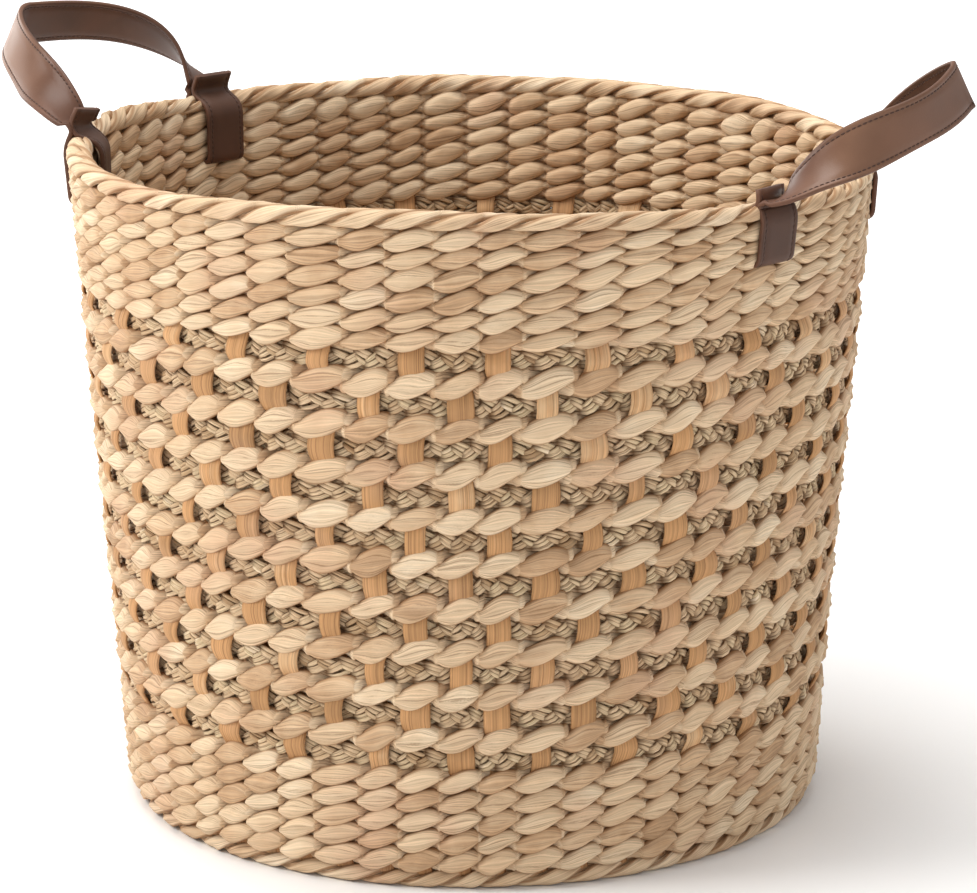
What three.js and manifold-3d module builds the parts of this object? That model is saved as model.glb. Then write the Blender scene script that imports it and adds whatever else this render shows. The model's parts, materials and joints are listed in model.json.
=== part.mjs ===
// A round laundry basket: rows of twined water hyacinth stacked over a woven base, seagrass
// braids laid between the middle rows, and two leather strap handles. Each end of a strap goes
// down outside the rim, in through the wall and up again inside, and is stitched to itself.
// Millimetres, +Z up. The origin is the middle of the foot rope, on the floor. The handles
// stand at +X, the right one, and -X, the left one, and each folds about the line through its
// two stitched ends.

import * as THREE from "three";
import { mergeVertices } from "three/addons/utils/BufferGeometryUtils.js";
import Module from "manifold-3d";

const wasm = await Module();
wasm.setup();

// Wall
const rimRadius = 210; // outside of the rim rope
const wallRadius = 183.5; // outside of the wall if it went straight down to the floor
const flarePower = 1.2; // 1 is a straight cone, more keeps the flare near the rim
const rowWidth = 13; // radial thickness of a twined row: two weavers round each stake
const flatShare = 0.27; // of a row's thickness, each side of its middle, that is pressed flat
const seatGap = 0.3; // left between neighbours that press on each other
const ringSegments = 28;

// Courses, from the rim down
const rimHeight = 12;
const rimWidth = 16;
const upperRowCount = 6;
const upperRowHeight = 9.2;
const braidCount = 10;
const braidHeight = 10.6;
const stakeThickness = 2; // of the flat stakes, which pass over both faces of a braid
const braidWidth = rowWidth - 2 * stakeThickness;
const middleRowHeight = 12.1;
const lowerRowCount = 5;
const lowerRowHeight = 10.6;
const footHeight = 9.9;
const footWidth = 11;
const footSetback = 3; // the foot rope stands this far inside the wall above it

// Base
const baseThickness = 7;
const baseLift = 1.5; // clear of the floor, so that only the foot rope touches it
const baseRise = 4; // of the middle of the base over its edge
const baseFlatShare = 0.85; // of the base's radius, where it starts to level out

// Handles
const strapWidth = 26;
const strapThickness = 3;
const strapSpread = THREE.MathUtils.degToRad(43); // between the two ends of one strap
const rowsOverSlotCount = 3; // the strap passes through the wall under this upper row
const slotClearance = 0.4;
const bendReach = 4; // how far before and after a corner the strap leaves the straight
const pinchInset = 3.5; // of the strap at its stitched pinch, inwards from the rim's outside
const pinchRise = 4; // of the pinch over the rim
const tailLength = 14; // beyond the stitches
const tailLean = THREE.MathUtils.degToRad(45); // of the cut end, inwards from upright
const handleReach = 64; // outwards, from the pinches to the top of the arch
const handleRise = 45; // of the top of the arch over the pinches
const rootLean = THREE.MathUtils.degToRad(20); // of the arch at a pinch, outwards from upright
const rootPull = 18; // how strongly the arch keeps its direction at the pinch
const crownPull = 78; // how strongly it keeps its direction at the top
const crownTilt = THREE.MathUtils.degToRad(23); // of the strap at the top, back over the basket
const twistShare = 0.62; // of each half of the arch, over which the strap turns on edge
const foldShare = 0.1; // along each half of the arch, from the pinch to the fold line
const foldSlope = THREE.MathUtils.degToRad(38); // of the two faces that leave room to fold
const archSteps = 14; // in each half of an arch
const bendSteps = 3;

// Colours
const straw = { color: 0xd9bb88, roughness: 0.82, metalness: 0 };
const paleStraw = { color: 0xe2c797, roughness: 0.82, metalness: 0 };
const seagrass = { color: 0x9a8a66, roughness: 0.88, metalness: 0 };
const leather = { color: 0x6e4a3a, roughness: 0.5, metalness: 0 };

const basket = new THREE.Group();
basket.name = "woven_laundry_basket";

function addPiece(name, geometry, finish) {
  const piece = new THREE.Mesh(geometry, new THREE.MeshStandardMaterial(finish));
  piece.name = name;
  basket.add(piece);
}

// A geometry becomes a solid that can be joined and cut, and a solid a geometry again.
function toSolid(geometry) {
  const bare = geometry.clone();
  bare.deleteAttribute("normal");
  bare.deleteAttribute("uv");
  const merged = mergeVertices(bare);
  const vertProperties = new Float32Array(merged.attributes.position.array);
  const triVerts = new Uint32Array(merged.index.array);
  return new wasm.Manifold(new wasm.Mesh({ numProp: 3, vertProperties, triVerts }));
}

function toGeometry(solid) {
  const mesh = solid.getMesh();
  const geometry = new THREE.BufferGeometry();
  geometry.setAttribute("position", new THREE.BufferAttribute(mesh.vertProperties, 3));
  geometry.setIndex(new THREE.BufferAttribute(mesh.triVerts, 1));
  geometry.computeVertexNormals();
  return geometry;
}

// Levels: each course of the wall lies on the one below it, and the rim comes last.
const lowerTop = footHeight + lowerRowCount * lowerRowHeight;
const bandPitch = braidHeight + middleRowHeight;
const bandsTop = lowerTop + braidCount * bandPitch - middleRowHeight;
const rimBottom = bandsTop + upperRowCount * upperRowHeight;
const height = rimBottom + rimHeight;

function wallOutside(level) {
  return wallRadius + (rimRadius - wallRadius) * Math.pow(level / height, flarePower);
}

// An outline of radius and level is turned about the upright axis.
function turned(outline) {
  const points = outline.map(([radius, level]) => new THREE.Vector2(radius, level));
  return new THREE.LatheGeometry(points, ringSegments).rotateX(Math.PI / 2);
}

// A rope-like course, fullest at half its height and flat where it lies on its neighbours
function ropeRing(outside, width, low, high) {
  const middle = (low + high) / 2;
  const inside = outside - width;
  const crown = outside - width / 2;
  const flat = width * flatShare;
  return turned([
    [inside, middle],
    [crown - flat, low],
    [crown + flat, low],
    [outside, middle],
    [crown + flat, high],
    [crown - flat, high],
    [inside, middle],
  ]);
}

// A braid is a flat band, in the middle of the wall's thickness.
function braidRing(low, high) {
  const middle = wallOutside((low + high) / 2) - rowWidth / 2;
  const inside = middle - braidWidth / 2;
  const outside = middle + braidWidth / 2;
  return turned([
    [inside, low],
    [outside, low],
    [outside, high],
    [inside, high],
    [inside, low],
  ]);
}

// The base is a disc inside the foot rope, and its middle is a little raised.
function baseDisc(outside) {
  const low = baseLift;
  const high = baseLift + baseThickness;
  const levelling = outside * baseFlatShare;
  return turned([
    [0, low + baseRise],
    [levelling, low],
    [outside, low],
    [outside, high],
    [levelling, high],
    [0, high + baseRise],
  ]);
}

function upperRowBottom(row) {
  return rimBottom - row * upperRowHeight;
}

function rowRing(bottom, rowHeight) {
  const outside = wallOutside(bottom + rowHeight / 2);
  return ropeRing(outside, rowWidth, bottom, bottom + rowHeight - seatGap);
}

// Handles. Side is +1 for the handle at +X and -1 for the one at -X. End is +1 or -1, the
// side in Y of one of its two ends. A strap end lies in the upright plane of its outward
// direction, and across is the direction of its width, towards the middle of the handle.
const slotLevel = upperRowBottom(rowsOverSlotCount) - seatGap / 2;
const halfSpread = strapSpread / 2;
const halfWidth = strapWidth / 2;
const halfThickness = strapThickness / 2;
const pinchRadius = rimRadius - pinchInset;
const pinchLevel = height + pinchRise;
const upward = new THREE.Vector3(0, 0, 1);

function outwardAt(side, end) {
  return new THREE.Vector3(side * Math.cos(halfSpread), end * Math.sin(halfSpread), 0);
}

function acrossAt(side, end) {
  const tangent = upward.clone().cross(outwardAt(side, end));
  return tangent.multiplyScalar(-end * side);
}

function endPoint(side, end, radius, level) {
  return outwardAt(side, end).multiplyScalar(radius).setZ(level);
}

// A strap is a flat bar bent along its stations, each with a place, a direction along the
// strap and a direction across it.
function bentStrap(stations) {
  const steps = stations.length - 1;
  const bar = new THREE.BoxGeometry(strapWidth, strapThickness, steps, 1, 1, steps);
  const corners = bar.attributes.position;
  const corner = new THREE.Vector3();
  for (let i = 0; i < corners.count; i += 1) {
    corner.fromBufferAttribute(corners, i);
    const { at, along, across } = stations[Math.round(corner.z + steps / 2)];
    const level = across.clone().projectOnPlane(along).normalize();
    const through = along.clone().normalize().cross(level);
    const moved = at.clone().addScaledVector(level, corner.x).addScaledVector(through, corner.y);
    corners.setXYZ(i, moved.x, moved.y, moved.z);
  }
  return bar;
}

// Half of an arch rises from its pinch, leans outwards and turns on edge on its way to the
// top. The other half is its mirror image.
function archRoute(side, end) {
  const pinch = endPoint(side, end, pinchRadius, pinchLevel);
  const leaving = outwardAt(side, end).multiplyScalar(Math.sin(rootLean));
  leaving.addScaledVector(upward, Math.cos(rootLean));
  const crownRadius = pinchRadius * Math.cos(halfSpread) + handleReach;
  const crown = new THREE.Vector3(side * crownRadius, 0, pinchLevel + handleRise);
  const beforeCrown = crown.clone().setY(end * crownPull);
  const afterPinch = pinch.clone().addScaledVector(leaving, rootPull);
  return new THREE.CubicBezierCurve3(pinch, afterPinch, beforeCrown, crown);
}

function archStation(side, end, share) {
  const route = archRoute(side, end);
  const acrossCrown = new THREE.Vector3(-side * Math.sin(crownTilt), 0, Math.cos(crownTilt));
  const turn = THREE.MathUtils.smoothstep(share, 0, twistShare);
  const across = acrossAt(side, end).lerp(acrossCrown, turn);
  return { at: route.getPoint(share), along: route.getTangent(share), across };
}

function halfArch(side, end) {
  const stations = [];
  for (let step = 0; step <= archSteps; step += 1) {
    stations.push(archStation(side, end, step / archSteps));
  }
  return stations;
}

function wholeArch(side) {
  const coming = halfArch(side, 1);
  const going = halfArch(side, -1).reverse().slice(1);
  going.forEach((station) => station.along.negate());
  return bentStrap(coming.concat(going));
}

// The end of a strap, from its cut tail over the rim, down inside the wall, out through the
// slot and up outside the rim to the pinch, where the arch goes on from it
function loopCorners(side, end) {
  const facetShare = Math.cos(Math.PI / ringSegments);
  const rowInside = wallOutside(slotLevel - upperRowHeight) - rowWidth;
  const wallInside = Math.min(rowInside, rimRadius - rimWidth) * facetShare;
  const legInside = Math.sqrt(wallInside ** 2 - halfWidth ** 2) - seatGap - halfThickness;
  const legOutside = rimRadius + seatGap + halfThickness;
  const tailRadius = pinchRadius - strapThickness - seatGap;
  const tipRadius = tailRadius - tailLength * Math.sin(tailLean);
  const tipLevel = pinchLevel + tailLength * Math.cos(tailLean);
  return [
    endPoint(side, end, tipRadius, tipLevel),
    endPoint(side, end, tailRadius, pinchLevel),
    endPoint(side, end, legInside, height),
    endPoint(side, end, legInside, slotLevel),
    endPoint(side, end, legOutside, slotLevel),
    endPoint(side, end, legOutside, height),
    endPoint(side, end, pinchRadius, pinchLevel),
  ];
}

// Each corner between the first and the last is rounded.
function roundedRoute(corners) {
  const points = [corners[0]];
  for (let i = 1; i < corners.length - 1; i += 1) {
    const before = corners[i - 1].clone().sub(corners[i]).setLength(bendReach).add(corners[i]);
    const after = corners[i + 1].clone().sub(corners[i]).setLength(bendReach).add(corners[i]);
    const bend = new THREE.QuadraticBezierCurve3(before, corners[i], after);
    points.push(...bend.getPoints(bendSteps));
  }
  points.push(corners[corners.length - 1]);
  return points;
}

function loopStations(side, end) {
  const points = roundedRoute(loopCorners(side, end));
  const across = acrossAt(side, end);
  const stations = points.slice(0, -1).map((at, i) => {
    const along = points[i + 1].clone().sub(points[Math.max(i - 1, 0)]);
    return { at, along, across };
  });
  const stub = [0, foldShare, 2 * foldShare].map((share) => archStation(side, end, share));
  return stations.concat(stub);
}

// A strap folds about the line through the fold points of its two ends. There the fixed end
// and the arch meet in two blunt wedges. Keep is -1 for what stays below the fold line and
// +1 for what stays above it, and the block returned takes the rest away.
function foldRelief(side, end, keep) {
  const fold = archRoute(side, end).getPoint(foldShare);
  const apex = (keep * seatGap) / 2;
  const flank = apex + keep * halfWidth * Math.tan(foldSlope);
  const back = -keep * strapWidth;
  const outline = new THREE.Shape();
  outline.moveTo(0, apex);
  outline.lineTo(halfWidth, flank);
  outline.lineTo(halfWidth, back);
  outline.lineTo(-halfWidth, back);
  outline.lineTo(-halfWidth, flank);
  const block = new THREE.ExtrudeGeometry(outline, {
    depth: 2 * strapWidth,
    bevelEnabled: false,
  });
  block.rotateX(Math.PI / 2);
  block.translate(fold.x, fold.y + strapWidth, fold.z);
  return toSolid(block);
}

function archPiece(side) {
  const whole = toSolid(wholeArch(side));
  const opened = whole.subtract(foldRelief(side, 1, 1));
  return toGeometry(opened.subtract(foldRelief(side, -1, 1)));
}

// The tail lies against the inside of the fixed end, and the relief must not reach it.
function clearOfTail(side, end) {
  const reach = 4 * strapWidth;
  const block = new THREE.BoxGeometry(reach, reach, reach);
  block.rotateZ(Math.atan2(outwardAt(side, end).y, outwardAt(side, end).x));
  const layerEdge = pinchRadius - halfThickness - seatGap / 2;
  const middle = endPoint(side, end, layerEdge + reach / 2, pinchLevel);
  block.translate(middle.x, middle.y, middle.z);
  return toSolid(block);
}

function loopPiece(side, end) {
  const relief = foldRelief(side, end, -1).intersect(clearOfTail(side, end));
  return toGeometry(toSolid(bentStrap(loopStations(side, end))).subtract(relief));
}

// Each strap end has a slot between the two rows that it passes.
function slot(side, end) {
  const slotHeight = strapThickness + 2 * slotClearance;
  const slotWidth = strapWidth + 2 * slotClearance;
  const cut = new THREE.BoxGeometry(rimWidth + rowWidth, slotWidth, slotHeight);
  cut.rotateZ(Math.atan2(outwardAt(side, end).y, outwardAt(side, end).x));
  const middle = endPoint(side, end, wallOutside(slotLevel) - rowWidth / 2, slotLevel);
  cut.translate(middle.x, middle.y, middle.z);
  return toSolid(cut);
}

function slottedRow(row) {
  let solid = toSolid(rowRing(upperRowBottom(row), upperRowHeight));
  for (const side of [1, -1]) {
    for (const end of [1, -1]) {
      solid = solid.subtract(slot(side, end));
    }
  }
  return toGeometry(solid);
}

// Wall, from the rim down
addPiece("rim_rope", ropeRing(rimRadius, rimWidth, rimBottom, height), paleStraw);

for (let row = 1; row <= upperRowCount; row += 1) {
  const slotted = row === rowsOverSlotCount || row === rowsOverSlotCount + 1;
  const plain = () => rowRing(upperRowBottom(row), upperRowHeight);
  addPiece("upper_row_" + row, slotted ? slottedRow(row) : plain(), straw);
}

for (let band = 1; band <= braidCount; band += 1) {
  const bottom = bandsTop - (band - 1) * bandPitch - braidHeight;
  addPiece("braid_" + band, braidRing(bottom, bottom + braidHeight - seatGap), seagrass);
  if (band < braidCount) {
    addPiece("middle_row_" + band, rowRing(bottom - middleRowHeight, middleRowHeight), straw);
  }
}

for (let row = 1; row <= lowerRowCount; row += 1) {
  addPiece("lower_row_" + row, rowRing(lowerTop - row * lowerRowHeight, lowerRowHeight), straw);
}

// Foot and base
const footOutside = wallOutside(footHeight) - footSetback;
const footInside = footOutside - footWidth;
addPiece("foot_rope", ropeRing(footOutside, footWidth, 0, footHeight - seatGap), paleStraw);
addPiece("base_weave", baseDisc(footInside - seatGap), straw);

// Handles
for (const [name, side] of [["right", 1], ["left", -1]]) {
  addPiece(name + "_handle_arch", archPiece(side), leather);
  addPiece(name + "_handle_back_loop", loopPiece(side, 1), leather);
  addPiece(name + "_handle_front_loop", loopPiece(side, -1), leather);
}

export default basket;
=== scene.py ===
"""A round laundry basket: twined water hyacinth, flat seagrass braids and leather strap handles."""

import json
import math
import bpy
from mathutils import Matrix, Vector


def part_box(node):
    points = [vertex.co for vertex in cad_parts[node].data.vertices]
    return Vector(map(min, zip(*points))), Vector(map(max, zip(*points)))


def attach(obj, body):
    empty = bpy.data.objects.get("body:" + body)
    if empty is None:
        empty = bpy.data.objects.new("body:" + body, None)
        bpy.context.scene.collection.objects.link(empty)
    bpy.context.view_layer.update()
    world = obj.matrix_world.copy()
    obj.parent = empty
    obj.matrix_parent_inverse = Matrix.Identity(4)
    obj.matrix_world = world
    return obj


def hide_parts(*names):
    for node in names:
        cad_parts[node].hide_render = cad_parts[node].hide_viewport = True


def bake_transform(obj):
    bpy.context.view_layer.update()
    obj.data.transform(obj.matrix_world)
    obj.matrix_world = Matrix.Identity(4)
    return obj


bl_info = {
    "name": "Woven Laundry Basket",
    "version": (1, 0, 0),
    "blender": (4, 5, 0),
    "location": "3D View > Sidebar > Basket",
    "description": "Weaves a round basket with braided bands and leather strap handles",
    "category": "Add Mesh",
}

import bpy
import numpy as np
from mathutils import Matrix, Vector

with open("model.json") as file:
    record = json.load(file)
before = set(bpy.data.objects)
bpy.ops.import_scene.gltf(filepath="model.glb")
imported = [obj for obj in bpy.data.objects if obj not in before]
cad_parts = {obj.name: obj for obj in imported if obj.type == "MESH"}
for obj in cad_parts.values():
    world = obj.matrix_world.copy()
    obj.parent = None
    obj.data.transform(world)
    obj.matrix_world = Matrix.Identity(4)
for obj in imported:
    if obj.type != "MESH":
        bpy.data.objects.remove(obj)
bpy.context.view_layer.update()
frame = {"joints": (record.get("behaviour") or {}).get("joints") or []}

MM = 0.001
TAU = 2 * math.pi

UPPER_ROWS = [f"upper_row_{i}" for i in range(1, 7)]
MIDDLE_ROWS = [f"middle_row_{i}" for i in range(1, 10)]
LOWER_ROWS = [f"lower_row_{i}" for i in range(1, 6)]
BRAIDS = [f"braid_{i}" for i in range(1, 11)]


def ring_of(node):
    """The outside radius, lowest and highest level of a ring-shaped node."""
    low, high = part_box(node)
    return high[1], low[2], high[2]


RIM_RADIUS, RIM_LOW, RIM_TOP = ring_of("rim_rope")
FOOT_RADIUS, _, FOOT_TOP = ring_of("foot_rope")
BAND_1_MIDDLE = sum(ring_of("braid_1")[1:]) / 2
BAND_PITCH = BAND_1_MIDDLE - sum(ring_of("braid_2")[1:]) / 2
STRAP_SLOT = ring_of("upper_row_3")[1]
STRAP_ANGLES = (-21.5, 21.5, 158.5, 201.5)  # of the four strap ends about the axis, in degrees
CROWDED_LEVEL = 317 * MM  # where the upper rows are pushed up against the rim
RIM_BUMPS = (  # rise in mm, angle and width in degrees
    (2.4, 108, 24),
    (1.5, 163, 14),
    (4.6, 188, 16),
    (-2, 232, 24),
)


class BasketSizes(bpy.types.PropertyGroup):
    """Sizes of the weaving"""

    stakes: bpy.props.IntProperty(
        name="Stakes", description="Upright strips round the wall", default=56, min=8
    )
    row_depth: bpy.props.FloatProperty(
        name="Row Depth", description="Thickness of a twined row", default=13 * MM, unit="LENGTH"
    )
    wall_radius: bpy.props.FloatProperty(
        name="Wall Radius",
        description="Outside of the wall if it went straight down to the floor",
        default=183.5 * MM,
        unit="LENGTH",
    )
    flare_power: bpy.props.FloatProperty(
        name="Flare Power", description="How late the wall flares", default=1.2
    )
    stake_width: bpy.props.FloatProperty(
        name="Stake Width", description="Width of an upright strip", default=12.3 * MM, unit="LENGTH"
    )
    stake_phase: bpy.props.FloatProperty(
        name="Stake Phase",
        description="Turns the stakes about the basket's axis, in stakes",
        default=0.3,
    )
    braid_lobe: bpy.props.FloatProperty(
        name="Braid Lobe", description="Length of one lobe of a braid", default=10.6 * MM, unit="LENGTH"
    )
    rim_dip: bpy.props.FloatProperty(
        name="Rim Dip",
        description="How far the rim sags at the right handle",
        default=10 * MM,
        unit="LENGTH",
    )
    strap_pull: bpy.props.FloatProperty(
        name="Strap Pull",
        description="How far the straps pull up the rows they pass under",
        default=4 * MM,
        unit="LENGTH",
    )


class StrapSizes(bpy.types.PropertyGroup):
    """Sizes of the leather straps"""

    width: bpy.props.FloatProperty(
        name="Width", description="Width of a strap", default=26 * MM, unit="LENGTH"
    )
    thickness: bpy.props.FloatProperty(
        name="Thickness", description="Thickness of a strap", default=2.5 * MM, unit="LENGTH"
    )
    seam_inset: bpy.props.FloatProperty(
        name="Seam Inset", description="From the edge to the seam", default=2.8 * MM, unit="LENGTH"
    )
    stitch_pitch: bpy.props.FloatProperty(
        name="Stitch Pitch", description="From one stitch to the next", default=2.9 * MM, unit="LENGTH"
    )
    tail: bpy.props.FloatProperty(
        name="Tail", description="Length left over past a pinch", default=11 * MM, unit="LENGTH"
    )


class BasketColours(bpy.types.PropertyGroup):
    """Colours of the materials"""

    straw: bpy.props.FloatVectorProperty(
        name="Straw", description="Light water hyacinth", subtype="COLOR", default=(0.67, 0.49, 0.315)
    )
    honey: bpy.props.FloatVectorProperty(
        name="Honey", description="Darker water hyacinth", subtype="COLOR", default=(0.53, 0.335, 0.19)
    )
    leather: bpy.props.FloatVectorProperty(
        name="Leather", description="Outside of the straps", subtype="COLOR", default=(0.115, 0.052, 0.031)
    )


# Node trees


def feed(tree, socket, value):
    """Link a field to a socket, or set the socket to a plain value."""
    if isinstance(value, Field):
        tree.links.new(value.socket, socket)
    else:
        socket.default_value = value


class Field:
    """A value in a node tree. Arithmetic on it adds Math nodes to the tree."""

    def __init__(self, tree, socket):
        self.tree = tree
        self.socket = socket

    def maths(self, operation, *others, first=None):
        node = self.tree.nodes.new("ShaderNodeMath")
        node.operation = operation
        values = (self, *others) if first is None else (first, self)
        for socket, value in zip(node.inputs, values):
            feed(self.tree, socket, value)
        return Field(self.tree, node.outputs[0])

    def __add__(self, other):
        return self.maths("ADD", other)

    def __sub__(self, other):
        return self.maths("SUBTRACT", other)

    def __rsub__(self, other):
        return self.maths("SUBTRACT", first=other)

    def __mul__(self, other):
        return self.maths("MULTIPLY", other)

    def __truediv__(self, other):
        return self.maths("DIVIDE", other)

    def __rtruediv__(self, other):
        return self.maths("DIVIDE", first=other)

    def __neg__(self):
        return self * -1.0

    __radd__ = __add__
    __rmul__ = __mul__

    def sin(self):
        return self.maths("SINE")

    def cos(self):
        return self.maths("COSINE")

    def floor(self):
        return self.maths("FLOOR")

    def modulo(self, other):
        return self.maths("FLOORED_MODULO", other)

    def power(self, other):
        return self.maths("POWER", other)

    def size(self):
        return self.maths("ABSOLUTE")

    def sign(self):
        return self.maths("SIGN")

    def at_least(self, other):
        return self.maths("MAXIMUM", other)

    def at_most(self, other):
        return self.maths("MINIMUM", other)

    def to(self, other, share):
        """From this value to the other one as share goes from 0 to 1."""
        return self + (other - self) * share


class Recipe:
    """A geometry node tree for one kind of woven piece, with named inputs."""

    def __init__(self, name, inputs):
        self.tree = bpy.data.node_groups.new(name, "GeometryNodeTree")
        face = self.tree.interface
        face.new_socket("Geometry", in_out="OUTPUT", socket_type="NodeSocketGeometry")
        for label, kind, default in inputs:
            socket = face.new_socket(label, in_out="INPUT", socket_type=f"NodeSocket{kind}")
            if default is not None:
                socket.default_value = default
        self.source = self.tree.nodes.new("NodeGroupInput")

    def value(self, label):
        return Field(self.tree, self.source.outputs[label])

    def node(self, kind, **settings):
        node = self.tree.nodes.new(kind)
        for key, setting in settings.items():
            setattr(node, key, setting)
        return node

    def wire(self, node, **values):
        """Set a node's inputs by name, where an underscore stands for a space."""
        for key, value in values.items():
            feed(self.tree, node.inputs[key.replace("_", " ")], value)
        return node

    def out(self, node, index=0):
        return Field(self.tree, node.outputs[index])

    def xyz(self, x, y, z):
        node = self.node("ShaderNodeCombineXYZ")
        for socket, value in zip(node.inputs, (x, y, z)):
            feed(self.tree, socket, value)
        return self.out(node)

    def chance(self, number, low, high, seed):
        """A random value between low and high for each whole number."""
        node = self.node("FunctionNodeRandomValue", data_type="FLOAT")
        feed(self.tree, node.inputs[2], low)
        feed(self.tree, node.inputs[3], high)
        feed(self.tree, node.inputs["ID"], number + 0.1)
        feed(self.tree, node.inputs["Seed"], seed)
        return self.out(node, 1)

    def wander(self, place, scale, amount):
        """A slow wave over a place, from minus to plus amount."""
        noise = self.node("ShaderNodeTexNoise", noise_dimensions="3D")
        self.wire(noise, Vector=place, Scale=scale, Detail=1.0)
        return (self.out(noise, 0) - 0.5) * 2.0 * amount

    def uneven(self, angle):
        """No two stakes stand quite as far apart."""
        return angle + 0.009 * (angle * 9.0 + 1.3).sin() + 0.005 * (angle * 23.0 + 4.0).sin()

    def strands(self, count, steps, sides):
        """Flat sheets, one for each strand, and their along, around and strand number."""
        sheet = self.wire(self.node("GeometryNodeMeshGrid"), Vertices_X=steps + 1, Vertices_Y=sides + 1)
        line = self.node("GeometryNodeMeshLine")
        self.wire(line, Count=count, Offset=(0, 0, 1))
        spread = self.node("GeometryNodeInstanceOnPoints")
        self.wire(spread, Points=self.out(line), Instance=self.out(sheet))
        real = self.node("GeometryNodeRealizeInstances")
        self.wire(real, Geometry=self.out(spread))
        place = self.node("ShaderNodeSeparateXYZ")
        self.wire(place, Vector=self.out(self.node("GeometryNodeInputPosition")))
        along = self.out(place, 0) + 0.5
        around = self.out(place, 1) + 0.5
        return self.out(real), along, around, self.out(place, 2)

    def keep(self, geometry, name, value, kind="FLOAT"):
        """Store a value on the points, for the material to read."""
        node = self.node("GeometryNodeStoreNamedAttribute", data_type=kind, domain="POINT")
        self.wire(node, Geometry=geometry, Name=name, Value=value)
        return self.out(node)

    def finish(self, geometry, place, fibre, tone, pinch):
        """Put the strands in their place, close their seams and give them their material."""
        geometry = self.keep(geometry, "fibre", fibre, "FLOAT_VECTOR")
        geometry = self.keep(geometry, "tone", tone)
        # The pinch value marks where the material paints shade: creases, edges and crossings.
        geometry = self.keep(geometry, "pinch", pinch)
        moved = self.wire(self.node("GeometryNodeSetPosition"), Geometry=geometry, Position=place)
        closed = self.wire(
            self.node("GeometryNodeMergeByDistance"), Geometry=self.out(moved), Distance=0.004 * MM
        )
        smooth = self.wire(self.node("GeometryNodeSetShadeSmooth"), Geometry=self.out(closed))
        self.end(self.out(smooth))

    def end(self, geometry):
        real = self.wire(self.node("GeometryNodeRealizeInstances"), Geometry=geometry)
        dressed = self.wire(
            self.node("GeometryNodeSetMaterial"), Geometry=self.out(real), Material=self.value("Material")
        )
        self.wire(self.node("NodeGroupOutput"), Geometry=self.out(dressed))

    def grow(self, name, values):
        """Make a plain mesh object from the tree with these values for its inputs."""
        holder = bpy.data.objects.new(name, bpy.data.meshes.new(name + "_start"))
        bpy.context.scene.collection.objects.link(holder)
        modifier = holder.modifiers.new("Weave", "NODES")
        modifier.node_group = self.tree
        for item in self.tree.interface.items_tree:
            if item.in_out == "INPUT" and item.name in values:
                modifier[item.identifier] = values[item.name]
        evaluated = holder.evaluated_get(bpy.context.evaluated_depsgraph_get())
        mesh = bpy.data.meshes.new_from_object(evaluated)
        if not len(mesh.polygons):
            raise RuntimeError(f"{name} came out empty")
        holder.modifiers.remove(modifier)
        holder.data = mesh
        mesh.name = name
        settle(mesh)
        face_outwards(mesh)
        return holder


# Shape of the whole basket


def bump(angle, middle, width):
    """1 at the middle angle, falling away to both sides. All in degrees."""
    away = (angle - middle + 180) % 360 - 180
    return np.exp(-((away / width) ** 2))


def settled(places):
    """The basket isn't true: its rim dips at the right handle, the straps pull the rows under
    them together, and its wall waves a little."""
    sizes = bpy.context.scene.basket_sizes
    angle = np.degrees(np.arctan2(places[:, 1], places[:, 0]))
    radius = np.hypot(places[:, 0], places[:, 1])
    share = np.clip(places[:, 2] / RIM_TOP, 0, 1)
    away = (angle - 8 + 180) % 360 - 180
    dip = -sizes.rim_dip * np.exp(-((away / np.where(away < 0, 45, 29)) ** 2))
    for rise, middle, width in RIM_BUMPS:
        dip += rise * MM * bump(angle, middle, width)
    lift = dip * share**8
    crowd = np.exp(-(((places[:, 2] - CROWDED_LEVEL) / (16 * MM)) ** 2))
    lift += (1.6 * MM + 2.8 * MM * bump(angle, -66, 45)) * crowd
    slot = STRAP_SLOT - 4 * MM
    near = np.exp(-(((places[:, 2] - slot) / (15 * MM)) ** 2))
    for strap in STRAP_ANGLES:
        lift += sizes.strap_pull * bump(angle, strap, 8) * near
    turn = np.radians(angle)
    wave = np.sin(2 * turn + 0.6) + 0.6 * np.sin(3 * turn + 6 * share + 1.9)
    wave += 0.35 * np.sin(7 * turn - 9 * share)
    out = wave * 0.9 * MM * share
    out += (2 * share * (1 - share) * 2 * MM - 1.5 * MM * share**4) * bump(angle, 203, 40)
    out -= 4.5 * MM * share**3 * bump(angle, 18, 42)
    out *= radius > 0.1
    level = 0.55 * MM * np.sin(5 * turn + 40 * share) * share
    level += 0.4 * MM * np.sin(13 * turn - 70 * share) * share
    result = places.copy()
    result[:, :2] *= (1 + out / np.maximum(radius, 0.05))[:, None]
    result[:, 2] += lift + level
    return result


def settle(mesh):
    places = np.empty(len(mesh.vertices) * 3, np.float32)
    mesh.vertices.foreach_get("co", places)
    places = settled(places.reshape(-1, 3).astype(float))
    mesh.vertices.foreach_set("co", places.astype(np.float32).ravel())
    mesh.update()


def face_outwards(mesh):
    """Turn a closed mesh the right way out, by the sign of its volume."""
    mesh.calc_loop_triangles()
    corners = np.empty(len(mesh.loop_triangles) * 3, np.int32)
    mesh.loop_triangles.foreach_get("vertices", corners)
    places = np.empty(len(mesh.vertices) * 3, np.float32)
    mesh.vertices.foreach_get("co", places)
    a, b, c = places.reshape(-1, 3).astype(float)[corners.reshape(-1, 3)].transpose(1, 0, 2)
    if np.einsum("ij,ij->i", a, np.cross(b, c)).sum() < 0:
        mesh.flip_normals()


def wall_middle(level):
    """Radius of the middle of the wall's thickness at a level, a number or a field."""
    sizes = bpy.context.scene.basket_sizes
    share = level * (1 / RIM_TOP)
    grown = share.power(sizes.flare_power) if isinstance(share, Field) else share**sizes.flare_power
    return sizes.wall_radius - sizes.row_depth / 2 + grown * (RIM_RADIUS - sizes.wall_radius)


# Weaving recipes

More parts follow.
